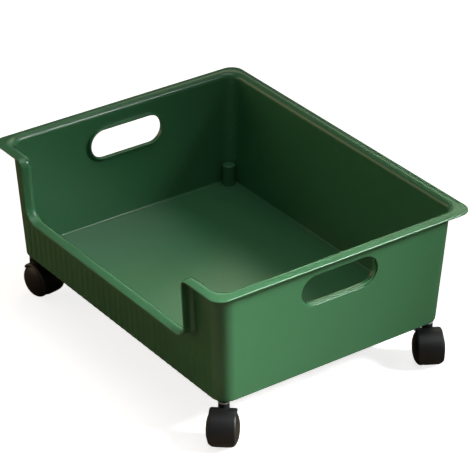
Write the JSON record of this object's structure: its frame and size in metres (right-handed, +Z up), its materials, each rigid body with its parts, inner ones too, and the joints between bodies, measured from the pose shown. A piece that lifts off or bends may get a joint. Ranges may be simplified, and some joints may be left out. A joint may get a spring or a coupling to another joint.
{
  "type": "book storage bin on casters",
  "caption": "Open moulded book bin with a flared lip, a low front cut-out, hand holes in the ends and swivelling twin-wheel casters under the corners.",
  "frame": {"origin": "on the floor under the middle of the bin", "axes": "+Z up, +X along the long side to the end that faces the camera, -Y out of the cut-out side"},
  "size_m": [0.4046, 0.3082, 0.1729],
  "materials": {
    "green_plastic": "deep green, satin moulded",
    "sleeve_plastic": "matt",
    "spring_steel": "bare",
    "black_nylon": "black, satin moulded",
    "dark_steel": "blackened",
    "zinc_steel": "bright zinc"
  },
  "bodies": {
    "bin": {"bin_shell": "green_plastic", "socket_sleeve_front_left": "sleeve_plastic", "grip_ring_front_left": "spring_steel", "socket_sleeve_front_right": "sleeve_plastic", "grip_ring_front_right": "spring_steel", "socket_sleeve_rear_left": "sleeve_plastic", "grip_ring_rear_left": "spring_steel", "socket_sleeve_rear_right": "sleeve_plastic", "grip_ring_rear_right": "spring_steel"},
    "caster_front_left": {"caster_housing_front_left": "black_nylon", "caster_stem_front_left": "dark_steel", "caster_collar_ring_front_left": "zinc_steel", "caster_axle_front_left": "zinc_steel"},
    "wheel_a_front_left": {"caster_wheel_a_front_left": "black_nylon"},
    "wheel_b_front_left": {"caster_wheel_b_front_left": "black_nylon"},
    "caster_front_right": {"caster_housing_front_right": "black_nylon", "caster_stem_front_right": "dark_steel", "caster_collar_ring_front_right": "zinc_steel", "caster_axle_front_right": "zinc_steel"},
    "wheel_a_front_right": {"caster_wheel_a_front_right": "black_nylon"},
    "wheel_b_front_right": {"caster_wheel_b_front_right": "black_nylon"},
    "caster_rear_left": {"caster_housing_rear_left": "black_nylon", "caster_stem_rear_left": "dark_steel", "caster_collar_ring_rear_left": "zinc_steel", "caster_axle_rear_left": "zinc_steel"},
    "wheel_a_rear_left": {"caster_wheel_a_rear_left": "black_nylon"},
    "wheel_b_rear_left": {"caster_wheel_b_rear_left": "black_nylon"},
    "caster_rear_right": {"caster_housing_rear_right": "black_nylon", "caster_stem_rear_right": "dark_steel", "caster_collar_ring_rear_right": "zinc_steel", "caster_axle_rear_right": "zinc_steel"},
    "wheel_a_rear_right": {"caster_wheel_a_rear_right": "black_nylon"},
    "wheel_b_rear_right": {"caster_wheel_b_rear_right": "black_nylon"}
  },
  "joints": [
    {"name": "swivel_front_left", "type": "hinge", "parent": "bin", "child": "caster_front_left", "pos_m": [-0.1711, -0.1247, 0.0401], "axis": [0, 0, 1], "continuous": true},
    {"name": "spin_a_front_left", "type": "hinge", "parent": "caster_front_left", "child": "wheel_a_front_left", "pos_m": [-0.15922, -0.12303, 0.018], "axis": [-0.1392, 0.9903, 0], "continuous": true},
    {"name": "spin_b_front_left", "type": "hinge", "parent": "caster_front_left", "child": "wheel_b_front_left", "pos_m": [-0.15922, -0.12303, 0.018], "axis": [-0.1392, 0.9903, 0], "continuous": true},
    {"name": "swivel_front_right", "type": "hinge", "parent": "bin", "child": "caster_front_right", "pos_m": [0.1711, -0.1247, 0.0401], "axis": [0, 0, 1], "continuous": true},
    {"name": "spin_a_front_right", "type": "hinge", "parent": "caster_front_right", "child": "wheel_a_front_right", "pos_m": [0.18029, -0.13241, 0.018], "axis": [0.6428, 0.766, 0], "continuous": true},
    {"name": "spin_b_front_right", "type": "hinge", "parent": "caster_front_right", "child": "wheel_b_front_right", "pos_m": [0.18029, -0.13241, 0.018], "axis": [0.6428, 0.766, 0], "continuous": true},
    {"name": "swivel_rear_left", "type": "hinge", "parent": "bin", "child": "caster_rear_left", "pos_m": [-0.1711, 0.1247, 0.0401], "axis": [0, 0, 1], "continuous": true},
    {"name": "spin_a_rear_left", "type": "hinge", "parent": "caster_rear_left", "child": "wheel_a_rear_left", "pos_m": [-0.1752, 0.11342, 0.018], "axis": [0.9397, -0.342, 0], "continuous": true},
    {"name": "spin_b_rear_left", "type": "hinge", "parent": "caster_rear_left", "child": "wheel_b_rear_left", "pos_m": [-0.1752, 0.11342, 0.018], "axis": [0.9397, -0.342, 0], "continuous": true},
    {"name": "swivel_rear_right", "type": "hinge", "parent": "bin", "child": "caster_rear_right", "pos_m": [0.1711, 0.1247, 0.0401], "axis": [0, 0, 1], "continuous": true},
    {"name": "spin_a_rear_right", "type": "hinge", "parent": "caster_rear_right", "child": "wheel_a_rear_right", "pos_m": [0.18149, 0.1187, 0.018], "axis": [0.5, 0.866, 0], "continuous": true},
    {"name": "spin_b_rear_right", "type": "hinge", "parent": "caster_rear_right", "child": "wheel_b_rear_right", "pos_m": [0.18149, 0.1187, 0.018], "axis": [0.5, 0.866, 0], "continuous": true}
  ]
}
